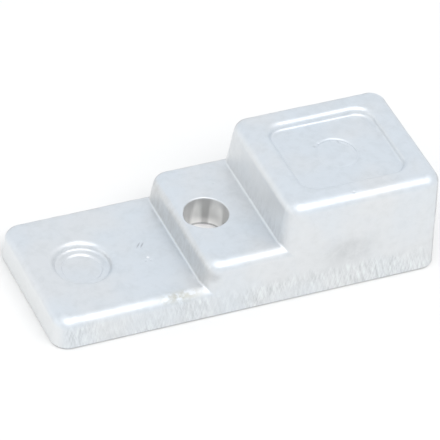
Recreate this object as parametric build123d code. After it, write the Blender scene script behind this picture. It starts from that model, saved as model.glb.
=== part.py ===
from build123d import *
import os
from math import radians, tan

# Sacrificial anode: one aluminium casting in three steps, held down by a single cap screw.
# Millimetres. X runs along the casting from the low step to the high one, and Z is up.
# The origin is at the middle of the flat mounting face.

# --- the three steps ---
length = 100.0            # along X, at the mounting face
width = 39.2              # along Y, at the mounting face
low_height = 8.3          # top of the low step above the mounting face
mid_height = 15.5         # top of the middle step
high_height = 27.5        # top of the high step
low_step_length = 37.8    # from the low end to the foot of the first riser
mid_step_length = 19.7    # from the foot of the first riser to the foot of the second

# --- mould draft and cast edges ---
side_draft = 2.0          # degrees, on the four outer sides
riser_draft = 6.3         # degrees, on both risers
corner_radius = 4.2       # on the upright corners
top_edge_radius = 3.1     # round the top of each step
root_radius = 0.5         # in the inside corner at the foot of each riser
root_end_gap = 0.6        # the inside corner's rounding dies out this far from the long sides
base_chamfer = 0.35       # round the mounting face and the hole in it

# --- screw hole, in the middle step ---
hole_setback = 7.7        # from the foot of the first riser to the axis
screw_clearance = 6.6     # the shank of an M6 cap screw passes through
head_clearance = 11.0     # its head sinks in here
head_depth = 8.3          # from the top of the middle step to the seat of the head
mouth_radius = 0.35       # round the hole at the top

# --- marks left by the mould, on the middle line ---
mark_wall_slope = 15.0    # degrees from upright, of the pad's and the round mark's walls
mark_rim_radius = 1.6     # where those walls meet the top
mark_foot_radius = 0.7    # where they meet the floor
pad_border = 6.1          # between the outline of the high step's top and the sunk pad's rim
pad_depth = 1.9
pad_corner_radius = 4.6
witness_diameter = 11.1   # shallow ring left by a mould pin in the floor of the pad
witness_width = 0.7
witness_depth = 0.25
disc_setback = 13.9       # from the low end to the middle of the round mark
disc_diameter = 14.2      # of the round mark, at its rim
disc_depth = 1.8
eye_diameter = 10.2       # the deeper middle of the round mark
eye_depth = 0.4           # below the rest of its floor
eye_wall_slope = 45.0     # degrees from upright

low_end = -length / 2
high_end = length / 2
first_riser = low_end + low_step_length
second_riser = first_riser + mid_step_length
high_top_start = second_riser + (high_height - mid_height) * tan(radians(riser_draft))
high_top_inset = high_height * tan(radians(side_draft))
high_top_end = high_end - high_top_inset
pad_length = high_top_end - high_top_start - 2 * pad_border
pad_width = width - 2 * high_top_inset - 2 * pad_border
pad_middle = (high_top_start + high_top_end) / 2

hole_place = Pos(first_riser + hole_setback, 0, mid_height)
pad_place = Pos(pad_middle, 0, high_height)
disc_place = Pos(low_end + disc_setback, 0, low_height)


def drafted_step(start, foot_height, end_draft, top):
    """One step, from start to the high end: a drafted box with rounded corners and top."""
    footprint = Rectangle(high_end - start, width, align=(Align.MIN, Align.CENTER))
    box = extrude(Pos(start, 0, 0) * footprint, top)
    left_side = box.faces().sort_by(Axis.X)[0]
    box = draft(left_side, Plane.XY.offset(foot_height), end_draft)
    across = box.faces().sort_by(Axis.Y)
    right_side = box.faces().sort_by(Axis.X)[-1]
    box = draft([across[0], across[-1], right_side], Plane.XY, side_draft)
    uprights = box.edges().filter_by(lambda edge: edge.bounding_box().size.Z > top / 2)
    box = fillet(uprights, corner_radius)
    return fillet(box.faces().sort_by(Axis.Z)[-1].edges(), top_edge_radius)


def with_rounded_root(block, riser, height):
    """The block with the inside corner at the foot of a riser rounded, nearly to its ends."""
    corner = block.edges().filter_by(Axis.Y).sort_by_distance((riser, 0, height))[0]
    rounding = fillet(corner, root_radius) - block
    return block + (rounding & Box(2 * length, width - 2 * root_end_gap, 2 * high_height))


def stepped_block():
    """The three steps as one body, with its roots rounded."""
    block = drafted_step(low_end, 0, side_draft, low_height)
    block += drafted_step(first_riser, low_height, riser_draft, mid_height)
    block = with_rounded_root(block, first_riser, low_height)
    block += drafted_step(second_riser, mid_height, riser_draft, high_height)
    return with_rounded_root(block, second_riser, mid_height)


def sinking(outline, depth):
    """A sunk shape below an outline on the XY plane, with sloping walls and a rounded foot."""
    shape = extrude(outline, -depth, taper=mark_wall_slope)
    return fillet(shape.faces().sort_by(Axis.Z)[0].edges(), mark_foot_radius)


def sunk_pad():
    """The shallow pad in the top of the high step, with the ring in its floor."""
    outline = RectangleRounded(pad_length, pad_width, pad_corner_radius)
    pad = sinking(outline, pad_depth)
    middle_radius = witness_diameter / 2
    ring = Circle(middle_radius + witness_width / 2) - Circle(middle_radius - witness_width / 2)
    return pad + extrude(ring, -pad_depth - witness_depth)


def round_mark():
    """The round mark in the top of the low step, with the deeper eye in its floor."""
    mark = sinking(Circle(disc_diameter / 2), disc_depth)
    eye = extrude(Circle(eye_diameter / 2), -eye_depth, taper=eye_wall_slope)
    return mark + Pos(0, 0, -disc_depth) * eye


def flat_at(body, height):
    """The body's largest flat at one height."""
    level = body.faces().filter_by(Axis.Z).filter_by_position(Axis.Z, height - 0.01, height + 0.01)
    return level.sort_by(SortBy.AREA)[-1]


def hole_mouth(body):
    """The edges of the screw hole at the top, part of them on the middle step's rounded edge."""
    on_the_wall = hole_place.position + Vector(head_clearance / 2, 0, -head_depth / 2)
    wall = body.faces().sort_by_distance(on_the_wall)[0]
    return wall.edges().filter_by(GeomType.LINE, reverse=True).sort_by(Axis.Z)[1:]


casting = stepped_block()
casting -= pad_place * sunk_pad()
casting -= disc_place * round_mark()
casting -= hole_place * CounterBoreHole(
    screw_clearance / 2, head_clearance / 2, head_depth, depth=mid_height
)
for height in (low_height, high_height):
    rim = flat_at(casting, height).inner_wires()[0]
    casting = fillet(rim.edges(), mark_rim_radius)
casting = fillet(hole_mouth(casting), mouth_radius)
casting = chamfer(flat_at(casting, 0).edges(), base_chamfer)

os.makedirs("parts", exist_ok=True)
export_step(casting, "parts/anode_casting.step")
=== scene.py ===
import math

import bpy
import numpy as np
from mathutils import Matrix, Vector


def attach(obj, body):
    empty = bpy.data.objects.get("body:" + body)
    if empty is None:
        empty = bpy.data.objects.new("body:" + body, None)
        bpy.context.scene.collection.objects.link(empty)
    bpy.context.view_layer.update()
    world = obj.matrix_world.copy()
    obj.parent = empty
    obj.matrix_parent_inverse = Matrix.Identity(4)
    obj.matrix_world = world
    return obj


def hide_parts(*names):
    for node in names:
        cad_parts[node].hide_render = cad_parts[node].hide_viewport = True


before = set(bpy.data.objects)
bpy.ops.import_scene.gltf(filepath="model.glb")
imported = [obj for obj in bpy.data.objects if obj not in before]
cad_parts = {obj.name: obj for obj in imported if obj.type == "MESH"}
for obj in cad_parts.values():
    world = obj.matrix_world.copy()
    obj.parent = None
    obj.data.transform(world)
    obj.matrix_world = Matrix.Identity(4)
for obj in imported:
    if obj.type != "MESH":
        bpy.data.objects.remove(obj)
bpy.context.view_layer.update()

mm = 0.001
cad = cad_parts["anode_casting"]

# ---------------------------------------------------------------- places on the casting, in millimetres
hole_axis = (-4.5, 0.0)
hole_radius = 5.5
mid_top = 15.5
pad_middle = (28.93, 0.0)
pad_floor = 25.6
ring_radius = 5.3
# x, y and z of a mark's middle, and the radius of a pit
chatter_marks = ((-21.0, 1.7, 8.3), (-20.1, 1.5, 8.3))
shiny_pits = ((-20.5, -3.2, 8.3, 0.42), (35.6, -19.0, 25.5, 0.40), (37.2, -18.9, 25.8, 0.25))
dirty_pits = (
    (-21.4, -4.2, 8.3, 0.28), (-20.2, -4.4, 8.3, 0.26), (1.4, 9.5, 15.5, 0.25),
    (25.8, -16.5, 27.5, 0.30), (24.9, 4.0, 25.6, 0.60), (26.2, 4.6, 25.6, 0.35),
)
# the middle of a soft spot of colour, and how far it reaches along each axis
dark_cloud = ((25.0, -19.0, 11.2), (11.0, 3.0, 6.5))
brown_stain = ((-18.5, -18.2, 7.8), (9.0, 2.6, 2.2))
# painted shade below the middle step's corner
corner_shade_spot = ((-9.9, -18.1, 11.5), (2.8, 3.0, 2.2))
# painted reflections on the bored wall
far_bore_glint = ((-4.4, 5.5, 9.0), (2.2, 3.0, 12.0))
right_bore_glint = ((-0.2, 3.5, 8.5), (3.0, 3.4, 12.0))

# ---------------------------------------------------------------- the casting's surface
longest_edge = 1.15
longest_edge_on_a_flat = 2.4
longest_edge_near_a_mark = 0.22
longest_edge_below = 3.0
longest_edge_on_the_ring = 0.3
around_a_mark = 1.6
around_the_ring = 0.8
refining_passes = 9
# two corners are one when they agree to this many decimals of a millimetre
place_decimals = 4
# triangles lie in one plane when their normals and offsets round to the same step
steps_of_normal, steps_per_mm = 500, 20
# the cosine between two normals of one surface, and of one flat
same_surface = math.cos(math.radians(32))
same_flat = 0.9999
# lower than this an edge lies on the underside, and the unevenness fades out below foot_height
underside_height = 0.02
foot_height = 0.8
# how far the ring reaches beyond its radius, and how deep it may lie in the pad
ring_reach = 1.2
ring_depth_limit = 1
# a point this close to the bored wall, and this far below its mouth, is on the bored wall
bore_margin = 0.02
mouth_height = 0.3
# depths below the CAD surface, lengths and widths, in millimetres
cast_depth = 0.05
wave_height, wave_size = 0.030, 9
ripple_height, ripple_size = 0.022, 3.5
pit_depth = 0.12
stroke_depth = 0.16
stroke_length, stroke_width = 1.35, 0.24
ring_depth = 0.32
outer_groove_width, inner_groove_width = 0.36, 0.32
inner_groove_inset = 0.95
# the direction of the chatter marks, and the angle at which the ring is deepest
stroke_way = (0.65, 0.76)
deepest_at = 0.6
inner_groove_share = 0.55
mean_share_of_ring, swing_of_share = 0.55, 0.45
stroke_dirt, pit_dirt = 0.9, 0.6


def cad_triangles(node):
    """The CAD piece's corners in millimetres, those in one place made one, and its triangles."""
    mesh = node.data
    mesh.calc_loop_triangles()
    points = np.empty(len(mesh.vertices) * 3)
    mesh.vertices.foreach_get("co", points)
    tris = np.empty(len(mesh.loop_triangles) * 3, dtype=np.int64)
    mesh.loop_triangles.foreach_get("vertices", tris)
    matrix = np.array(node.matrix_world)
    points = (points.reshape(-1, 3) @ matrix[:3, :3].T + matrix[:3, 3]) / mm
    return merged(points, tris.reshape(-1, 3))


def merged(points, tris):
    """The surface with points in one place made one, and without the triangles that this closes up."""
    places = np.round(points, place_decimals)
    _, first, where = np.unique(places, axis=0, return_index=True, return_inverse=True)
    tris = where.reshape(-1)[tris]
    kept = (tris[:, 0] != tris[:, 1]) & (tris[:, 1] != tris[:, 2]) & (tris[:, 2] != tris[:, 0])
    return points[first], tris[kept]


def ring_filled(points, tris):
    """The ring in the pad filled level with the pad's floor. It is worn, and comes back as relief."""
    points = points.copy()
    points[on_the_ring(points), 2] = pad_floor
    return merged(points, tris)


def on_the_ring(points):
    """Whether each point is within or around the ring in the pad."""
    inside = from_the_pad_middle(points) < ring_radius + ring_reach
    return inside & (points[:, 2] > pad_floor - ring_depth_limit)


def from_the_pad_middle(points):
    """How far each point lies from the pad's middle, seen from above."""
    return np.hypot(points[:, 0] - pad_middle[0], points[:, 1] - pad_middle[1])


def from_the_ring(points):
    """How far each point lies outside the ring's circle, less than 0 inside it."""
    return from_the_pad_middle(points) - ring_radius


def unit(v):
    return v / np.maximum(np.linalg.norm(v, axis=-1, keepdims=True), 1e-12)


def crossed(points, tris):
    """Each triangle's normal, as long as twice its area."""
    a, b, c = points[tris[:, 0]], points[tris[:, 1]], points[tris[:, 2]]
    return np.cross(b - a, c - a)


def corner_normals(points, tris):
    """A smooth normal at each corner of each triangle, where wide flats count for more than strips."""
    cross = crossed(points, tris)
    area = np.linalg.norm(cross, axis=1)
    normal = unit(cross)
    offset = (normal * points[tris[:, 0]]).sum(axis=1)
    key = [np.round(normal * steps_of_normal), np.round(offset[:, None] * steps_per_mm)]
    key = np.concatenate(key, axis=1)
    _, plane = np.unique(key, axis=0, return_inverse=True)
    plane = plane.reshape(-1)
    weight = np.bincount(plane, weights=area)[plane]
    corner = tris.reshape(-1)
    face = np.repeat(np.arange(len(tris)), 3)
    order = np.argsort(corner, kind="stable")
    start = np.searchsorted(corner[order], np.arange(len(points)))
    end = np.append(start[1:], len(corner))
    result = np.zeros((len(corner), 3))
    for a, b in zip(start, end):
        ring = order[a:b]
        around = normal[face[ring]]
        near = (around @ around.T) > same_surface
        result[ring] = near @ (around * weight[face[ring], None])
    return unit(result).reshape(-1, 3, 3)


def edge_limit(a, b, on_a_flat):
    """How long the edge from a to b may be."""
    middle = (a + b) / 2
    limit = np.where(on_a_flat, longest_edge_on_a_flat, longest_edge)
    limit[np.maximum(a[:, 2], b[:, 2]) < underside_height] = longest_edge_below
    by_the_ring = (np.abs(from_the_ring(middle)) < around_the_ring) & on_the_ring(middle)
    limit[by_the_ring] = longest_edge_on_the_ring
    for mark in shiny_pits + dirty_pits + chatter_marks:
        near = np.linalg.norm(middle - np.array(mark[:3]), axis=1) < around_a_mark
        limit[near] = longest_edge_near_a_mark
    return limit


def refined(points, tris, normals):
    """Splits every long edge at its middle, until none is left or the passes are used up."""
    for _ in range(refining_passes):
        edges = np.sort(np.concatenate([tris[:, [0, 1]], tris[:, [1, 2]], tris[:, [2, 0]]]), axis=1)
        edges, number = np.unique(edges, axis=0, return_inverse=True)
        number = number.reshape(3, -1).T
        a, b = points[edges[:, 0]], points[edges[:, 1]]
        curved = (normals * np.roll(normals, -1, axis=1)).sum(axis=2).min(axis=1) < same_flat
        on_a_flat = np.bincount(number.reshape(-1), weights=np.repeat(curved, 3)) == 0
        split = np.linalg.norm(a - b, axis=1) > edge_limit(a, b, on_a_flat)
        if not split.any():
            break
        middle = np.full(len(edges), -1)
        middle[split] = len(points) + np.arange(split.sum())
        points = np.concatenate([points, (a[split] + b[split]) / 2])
        cut = split[number]
        count = cut.sum(axis=1)
        half = unit(normals + np.roll(normals, -1, axis=1))
        corners = np.concatenate([tris, middle[number]], axis=1)
        leaning = np.concatenate([normals, half], axis=1)
        new_tris, new_normals = [], []

        def keep(rows, pattern):
            new_tris.append(corners[rows][:, pattern])
            new_normals.append(leaning[rows][:, pattern])

        keep(count == 0, [0, 1, 2])
        for k in range(3):
            i, j, l = k, (k + 1) % 3, (k + 2) % 3
            one = (count == 1) & cut[:, i]
            keep(one, [i, 3 + i, l])
            keep(one, [3 + i, j, l])
            two = (count == 2) & cut[:, i] & cut[:, j]
            keep(two, [3 + i, j, 3 + j])
            keep(two, [i, 3 + i, 3 + j])
            keep(two, [i, 3 + j, l])
        keep(count == 3, [0, 3, 5])
        keep(count == 3, [3, 1, 4])
        keep(count == 3, [5, 4, 2])
        keep(count == 3, [3, 4, 5])
        tris = np.concatenate(new_tris)
        normals = np.concatenate(new_normals)
    return points, tris, normals


def swell(points, size, seed, waves=24):
    """Smooth random unevenness from -1 to 1 or so, in lumps of that size in millimetres."""
    rng = np.random.default_rng(seed)
    total = np.zeros(len(points))
    for _ in range(waves):
        way = unit(rng.normal(size=3)) * (2 * math.pi / size) * rng.uniform(0.5, 1.3)
        total += np.sin(points @ way + rng.uniform(0, 2 * math.pi))
    return total / math.sqrt(waves / 2) / 2


def sunk(points):
    """How far each point of the casting lies below the CAD surface, in millimetres."""
    x, y, z = points.T
    waves = wave_height * swell(points, wave_size, 1)
    ripples = ripple_height * swell(points, ripple_size, 2)
    depth = np.clip(cast_depth + waves + ripples, 0, None)
    away = np.hypot(x - hole_axis[0], y - hole_axis[1])
    depth[(away < hole_radius + bore_margin) & (z < mid_top - mouth_height)] = 0
    depth *= np.clip(z / foot_height, 0, 1)
    return depth + dented(points) + ring_relief(points)


def dimples(points, places):
    """1 in the middle of each of these pits, falling to 0 around it."""
    total = np.zeros(len(points))
    for px, py, pz, radius in places:
        total += np.exp(-(np.linalg.norm(points - (px, py, pz), axis=1) / radius) ** 2)
    return total


def strokes_at(points):
    """1 along the middle of each chatter mark, falling to 0 around it."""
    x, y, z = points.T
    total = np.zeros(len(points))
    for px, py, pz in chatter_marks:
        along = (x - px) * stroke_way[0] + (y - py) * stroke_way[1]
        across = (x - px) * stroke_way[1] - (y - py) * stroke_way[0]
        total += np.exp(-((z - pz) ** 2) - (along / stroke_length) ** 2 - (across / stroke_width) ** 2)
    return total


def dented(points):
    """The depth of the small pits and chatter marks at each point, in millimetres."""
    return pit_depth * dimples(points, shiny_pits + dirty_pits) + stroke_depth * strokes_at(points)


def dirt_and_glint_at(points):
    """How dirty each point is, 0 where it is like the rest, and less than 0 where a glint is painted on a
    pit.
    """
    dirty = stroke_dirt * strokes_at(points) + pit_dirt * dimples(points, dirty_pits)
    return dirty - dimples(points, shiny_pits)


def ring_relief(points):
    """The depth of the worn double ring in the pad, which is deepest on the right and gone on the left."""
    away = from_the_ring(points)
    round_it = np.arctan2(points[:, 1] - pad_middle[1], points[:, 0] - pad_middle[0])
    kept = mean_share_of_ring + swing_of_share * np.cos(round_it - deepest_at)
    outer = np.exp(-((away / outer_groove_width) ** 2))
    inner = np.exp(-(((away + inner_groove_inset) / inner_groove_width) ** 2))
    grooves = outer + inner_groove_share * inner
    return np.where(on_the_ring(points), ring_depth * kept * grooves, 0)


points, tris = ring_filled(*cad_triangles(cad))
points, tris, normals = refined(points, tris, corner_normals(points, tris))
leaning = np.zeros_like(points)
np.add.at(leaning, tris.reshape(-1), normals.reshape(-1, 3))
leaning = unit(leaning)
skin = points - leaning * sunk(points)[:, None]


def point_normals(points, tris):
    """A smooth normal at each point."""
    cross = unit(crossed(points, tris))
    total = np.zeros_like(points)
    np.add.at(total, tris.reshape(-1), np.repeat(cross, 3, axis=0))
    return unit(total)


tilt_by_relief = point_normals(skin, tris) - point_normals(points, tris)
shading = unit(normals + tilt_by_relief[tris])

mesh = bpy.data.meshes.new("casting_skin")
mesh.from_pydata((skin * mm).tolist(), [], tris.tolist())
mesh.shade_smooth()
mesh.normals_split_custom_set(shading.reshape(-1, 3).tolist())
dirt_and_glint = mesh.attributes.new("dirt_and_glint", "FLOAT", "POINT")
dirt_and_glint.data.foreach_set("value", dirt_and_glint_at(points).astype(np.float32))
casting = bpy.data.objects.new("casting_skin", mesh)
bpy.context.scene.collection.objects.link(casting)
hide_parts("anode_casting")
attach(casting, "root")

# ---------------------------------------------------------------- colours, as red, green, blue and alpha
bluish_skin = (0.684, 0.722, 0.760, 1)
warm_skin = (0.712, 0.725, 0.738, 1)
thick_oxide = (0.36, 0.38, 0.375, 1)
riser_painted_light = (0.77, 0.775, 0.77, 1)
riser_grey = (0.57, 0.57, 0.56, 1)
riser_dark_streaks = (0.40, 0.405, 0.40, 1)
painted_side_light = (0.80, 0.81, 0.81, 1)
painted_edge_shade = (0.34, 0.33, 0.33, 1)
file_mark_shade = (0.42, 0.45, 0.45, 1)
file_mark_shine = (0.84, 0.885, 0.875, 1)
cloud_grey = (0.37, 0.385, 0.395, 1)
stain_brown = (0.44, 0.43, 0.36, 1)
painted_corner_shade = (0.30, 0.30, 0.30, 1)
mark_dirt = (0.25, 0.25, 0.26, 1)
pit_shine = (0.95, 0.95, 0.96, 1)
bore_grey = (0.62, 0.62, 0.61, 1)
bore_shine = (1.0, 1.0, 0.98, 1)
bore_mouth_shade = (0.45, 0.45, 0.45, 1)
ledge_shadow_line = (0.2, 0.2, 0.21, 1)
ledge_shine = (1.0, 0.99, 0.99, 1)
paper_white = (0.82, 0.81, 0.795, 1)
sky_white = (0.93, 0.965, 1, 1)

# ---------------------------------------------------------------- cast aluminium
metal = bpy.data.materials.new("cast_aluminium_skin")
metal.use_nodes = True
nodes, links = metal.node_tree.nodes, metal.node_tree.links
shader = nodes["Principled BSDF"]
mesh.materials.append(metal)


def add(kind, settings=None, **inputs):
    """A new node, with its settings, and with a value or another node's output in each named input."""
    node = nodes.new("ShaderNode" + kind)
    for name, value in (settings or {}).items():
        setattr(node, name, value)
    for name, value in inputs.items():
        fill(node.inputs[int(name[1:]) if name[0] == "_" else name.replace("_", " ")], value)
    return node


def fill(socket, value):
    if isinstance(value, bpy.types.NodeSocket):
        links.new(value, socket)
    else:
        socket.default_value = value


def maths(operation, a, b=0.0, c=0.0):
    return add("Math", {"operation": operation}, _0=a, _1=b, _2=c).outputs[0]


def product(a, b):
    return maths("MULTIPLY", a, b)


def spread(value, low, high, to_low=0.0, to_high=1.0):
    """value from low to high, eased, as to_low to to_high."""
    eased = {"interpolation_type": "SMOOTHSTEP"}
    return add("MapRange", eased, _0=value, _1=low, _2=high, _3=to_low, _4=to_high).outputs[0]


def stretched(vector, x, y, z):
    return add("VectorMath", {"operation": "MULTIPLY"}, _0=vector, _1=(x, y, z)).outputs[0]


def noise(vector, scale, detail=3.0, roughness=0.5, distortion=0.0):
    made = add("TexNoise", None, Vector=vector, Scale=scale, Detail=detail, Roughness=roughness)
    made.inputs["Distortion"].default_value = distortion
    return made.outputs["Fac"]


def mixed(factor, a, b):
    made = add("Mix", {"data_type": "RGBA"}, _0=factor, _6=a, _7=b)
    return made.outputs[2]


def spot_at(place, size):
    """1 at a place in millimetres, falling to 0 at that size from it along each axis."""
    away = add("VectorMath", {"operation": "SUBTRACT"}, _0=place_mm, _1=place).outputs[0]
    away = add("VectorMath", {"operation": "DIVIDE"}, _0=away, _1=size).outputs[0]
    length = add("VectorMath", {"operation": "LENGTH"}, _0=away).outputs[1]
    return spread(length, 0.0, 1.0, 1.0, 0.0)


def leaned(slope):
    """The place in millimetres, moved along x by that slope times its height."""
    x = maths("MULTIPLY_ADD", at_z, slope, at_x)
    return add("CombineXYZ", None, _0=x, _1=at_y, _2=at_z).outputs[0]


position = add("TexCoord")
place_mm = stretched(position.outputs["Object"], 1 / mm, 1 / mm, 1 / mm)
facing_x, facing_y, facing_z = add("SeparateXYZ", None, _0=position.outputs["Normal"]).outputs[:3]
at_x, at_y, at_z = add("SeparateXYZ", None, _0=place_mm).outputs[:3]

# the skin's colour drifts between bluish and warm grey
drift = spread(noise(place_mm, 0.055, 2.0, 0.5), 0.35, 0.65)
tone = mixed(drift, bluish_skin, warm_skin)
# clouds of thicker oxide, thin on the tops; on the risers, painted light and fine upright streaks
clouds = noise(place_mm, 0.42, 5.0, 0.58, 0.25)
tone = mixed(product(spread(clouds, 0.40, 0.74), 0.12), tone, thick_oxide)
riser = product(spread(facing_x, -0.55, -0.95), spread(at_x, -40, -20))
lower = product(riser, spread(at_x, 2.0, -4.0))
upper = maths("SUBTRACT", riser, lower)
streaks = noise(stretched(place_mm, 1.0, 1.0, 0.4), 0.9, 4.0, 0.62, 0.4)
# painted light: the risers, which face the low end, are painted lighter and greyer than the rest
tone = mixed(product(riser, 0.6), tone, riser_painted_light)
# the lower riser greyed all over, more along upright streaks
greyed = product(lower, spread(streaks, 0.30, 0.72, 0.35, 0.85))
tone = mixed(greyed, tone, riser_grey)
# dark upright streaks on the upper riser, stronger towards its foot and its front
foot = product(spread(at_z, 22.0, 16.0), spread(at_y, 12.0, -16.0, 0.35, 1.0))
upper_riser_streaks = product(upper, maths("MULTIPLY_ADD", foot, 0.28, 0.05))
tone = mixed(product(upper_riser_streaks, spread(streaks, 0.38, 0.66, 0.2, 1.0)), tone, riser_dark_streaks)
# painted light: the outer sides are painted lighter, the low end most of all
upright = spread(facing_z, 0.55, 0.1)
side_lightening = maths("MULTIPLY_ADD", spread(at_x, -47.5, -49.5), 0.6, 0.28)
side_lightening = product(product(upright, maths("SUBTRACT", 1.0, riser)), side_lightening)
tone = mixed(side_lightening, tone, painted_side_light)
# painted shade: a dark line along the roundings at the back and at the high end, where they show a dark
# reflection
far_edge = product(spread(facing_y, 0.36, 0.62), spread(facing_y, 0.97, 0.80))
far_edge = product(far_edge, spread(at_y, 14.0, 15.5))
end_edge = product(spread(facing_x, 0.55, 0.82), spread(facing_x, 0.99, 0.92))
end_edge = product(end_edge, spread(at_x, 44.5, 46.0))
painted_edge_line = product(maths("MAXIMUM", far_edge, end_edge), spread(clouds, 0.25, 0.6, 0.15, 0.6))
tone = mixed(painted_edge_line, tone, painted_edge_shade)
# file marks in a band along the foot of the long front
strokes = noise(stretched(leaned(0.30), 1.15, 0.3, 0.20), 1.0, 6.0, 0.7)
cross_strokes = noise(stretched(leaned(-0.18), 1.7, 0.3, 0.3), 1.0, 5.0, 0.7)
strokes = maths("MULTIPLY_ADD", cross_strokes, 0.45, product(strokes, 0.55))
band = spread(maths("MULTIPLY_ADD", clouds, 5.0, at_z), 11.0, 7.5)
on_front = product(spread(facing_y, -0.75, -0.95), band)
uneven = spread(noise(place_mm, 0.09, 2.0), 0.35, 0.65, 0.35, 1.0)
filed = product(on_front, uneven)
tone = mixed(product(filed, spread(strokes, 0.47, 0.62, 0.0, 0.5)), tone, file_mark_shade)
tone = mixed(product(filed, spread(strokes, 0.50, 0.38, 0.0, 0.8)), tone, file_mark_shine)
# a soft dark cloud low on the high step's front
cloud = product(spot_at(*dark_cloud), spread(clouds, 0.25, 0.6, 0.4, 1.0))
tone = mixed(product(cloud, 0.30), tone, cloud_grey)
# a brown stain on the low step's front edge, and painted shade: a dark patch below the middle step's
# corner
speckled = spread(noise(place_mm, 0.6, 5.0, 0.65), 0.36, 0.58)
stain = spot_at(*brown_stain)
tone = mixed(product(stain, product(speckled, 0.75)), tone, stain_brown)
corner_shade = product(spot_at(*corner_shade_spot), spread(clouds, 0.25, 0.5))
tone = mixed(product(corner_shade, 0.35), tone, painted_corner_shade)
# the chatter marks and some pits hold dirt, and the other pits carry a painted glint
pitted = add("Attribute", {"attribute_name": "dirt_and_glint"}).outputs["Fac"]
tone = mixed(spread(pitted, 0.2, 1.0, 0.0, 0.55), tone, mark_dirt)
tone = mixed(spread(pitted, -0.2, -0.9, 0.0, 0.8), tone, pit_shine)
# the bored hole is bare metal with tool marks down its wall, with painted reflections, painted shade and
# painted light on it
flat_place = stretched(place_mm, 1, 1, 0)
away = add("VectorMath", {"operation": "SUBTRACT"}, _0=flat_place, _1=(*hole_axis, 0)).outputs[0]
away = add("VectorMath", {"operation": "LENGTH"}, _0=away).outputs[1]
bored = spread(away, hole_radius + 0.12, hole_radius + 0.04)
bored = product(bored, spread(at_z, mid_top - 0.1, mid_top - 0.4))
tool_marks = noise(stretched(place_mm, 1, 1, 0.1), 0.35, 3.0, 0.55)
# painted reflections: bright streaks down the far and right sides of the wall
bore_glint = maths("MAXIMUM", spot_at(*far_bore_glint), spot_at(*right_bore_glint))
bore_glint = maths("ADD", bore_glint, spread(tool_marks, 0.3, 0.7, -0.25, 0.25))
bare = mixed(spread(bore_glint, 0.1, 0.75), bore_grey, bore_shine)
# painted shade: the wall darker towards its mouth
bare = mixed(spread(at_z, 12.0, 15.0, 0.0, 0.5), bare, bore_mouth_shade)
# painted shadow: a dark line on the wall just above the ledge
bare = mixed(spread(at_z, 7.9, 7.5, 0.0, 0.6), bare, ledge_shadow_line)
# painted light: the ledge facing up is made bright
bare = mixed(spread(facing_z, 0.7, 0.9), bare, ledge_shine)
tone = mixed(bored, tone, bare)

dull = spread(noise(place_mm, 0.45, 5.0, 0.6), 0.3, 0.7, 0.36, 0.52)
dull = maths("ADD", dull, product(stain, 0.25))
dull = add("Mix", None, _0=bored, _2=dull, _3=0.30).outputs[0]
grain = noise(place_mm, 2.2, 4.0, 0.6)
height = maths("MULTIPLY_ADD", product(on_front, strokes), 0.05, product(grain, 0.016))
relief = add("Bump", None, Strength=0.8, Distance=mm, Height=height)
fill(shader.inputs["Base Color"], tone)
fill(shader.inputs["Roughness"], dull)
fill(shader.inputs["Normal"], relief.outputs[0])
fill(shader.inputs["Metallic"], maths("MULTIPLY_ADD", bored, -0.52, 0.75))

# ---------------------------------------------------------------- floor, air and lights
floor_size = 6
# so far below the casting that the two faces don't flicker through each other
floor_height = -0.1 * mm
bpy.ops.mesh.primitive_plane_add(size=floor_size, location=(0, 0, floor_height))
floor = bpy.context.object
floor.name = "floor"
paper = bpy.data.materials.new("white_paper")
paper.use_nodes = True
paper_inputs = paper.node_tree.nodes["Principled BSDF"].inputs
paper_inputs["Base Color"].default_value = paper_white
paper_inputs["Roughness"].default_value = 0.9
floor.data.materials.append(paper)

world = bpy.data.worlds.new("studio")
bpy.context.scene.world = world
world.use_nodes = True
sky = world.node_tree.nodes["Background"].inputs
sky["Color"].default_value = sky_white
sky["Strength"].default_value = 0.98


def softbox(name, direction, distance, size, radiance, color):
    """A rectangular light of that size, facing the casting from that direction and distance, in metres."""
    light = bpy.data.lights.new(name, "AREA")
    light.shape = "RECTANGLE"
    light.size, light.size_y = size
    light.color = color
    light.energy = radiance * math.pi * size[0] * size[1]
    holder = bpy.data.objects.new(name, light)
    toward = Vector(direction).normalized()
    holder.location = toward * distance
    holder.rotation_euler = toward.to_track_quat("Z", "Y").to_euler()
    bpy.context.scene.collection.objects.link(holder)


softbox("key", (0.0, -0.45, 0.85), 1.0, (1.3, 0.7), 1.8, (1.0, 0.975, 0.965))
softbox("side", (-1.0, 0.2, 0.25), 1.2, (1.2, 0.5), 0.5, (1.0, 1.0, 1.0))

# ---------------------------------------------------------------- camera
focal_length, sensor_width = 318.44, 36
camera_distance = 937.97 * mm
aim = Vector((-0.6087, -0.0197, 12.099)) * mm
turn, tilt, lean = math.radians(-27.22), math.radians(40.23), math.radians(-5.976)
ahead = Vector((-math.sin(turn) * math.cos(tilt), math.cos(turn) * math.cos(tilt), -math.sin(tilt)))
level = Vector((math.cos(turn), math.sin(turn), 0))
rise = level.cross(ahead)
right = level * math.cos(lean) - rise * math.sin(lean)
up = level * math.sin(lean) + rise * math.cos(lean)
lens = bpy.data.cameras.new("camera")
lens.sensor_width = sensor_width
lens.lens = focal_length
lens.clip_end = 20
camera = bpy.data.objects.new("camera", lens)
stand = aim - ahead * camera_distance
camera.matrix_world = Matrix((
    (right.x, up.x, -ahead.x, stand.x),
    (right.y, up.y, -ahead.y, stand.y),
    (right.z, up.z, -ahead.z, stand.z),
    (0, 0, 0, 1),
))
bpy.context.scene.collection.objects.link(camera)
bpy.context.scene.camera = camera
bpy.context.scene.view_settings.view_transform = "Standard"
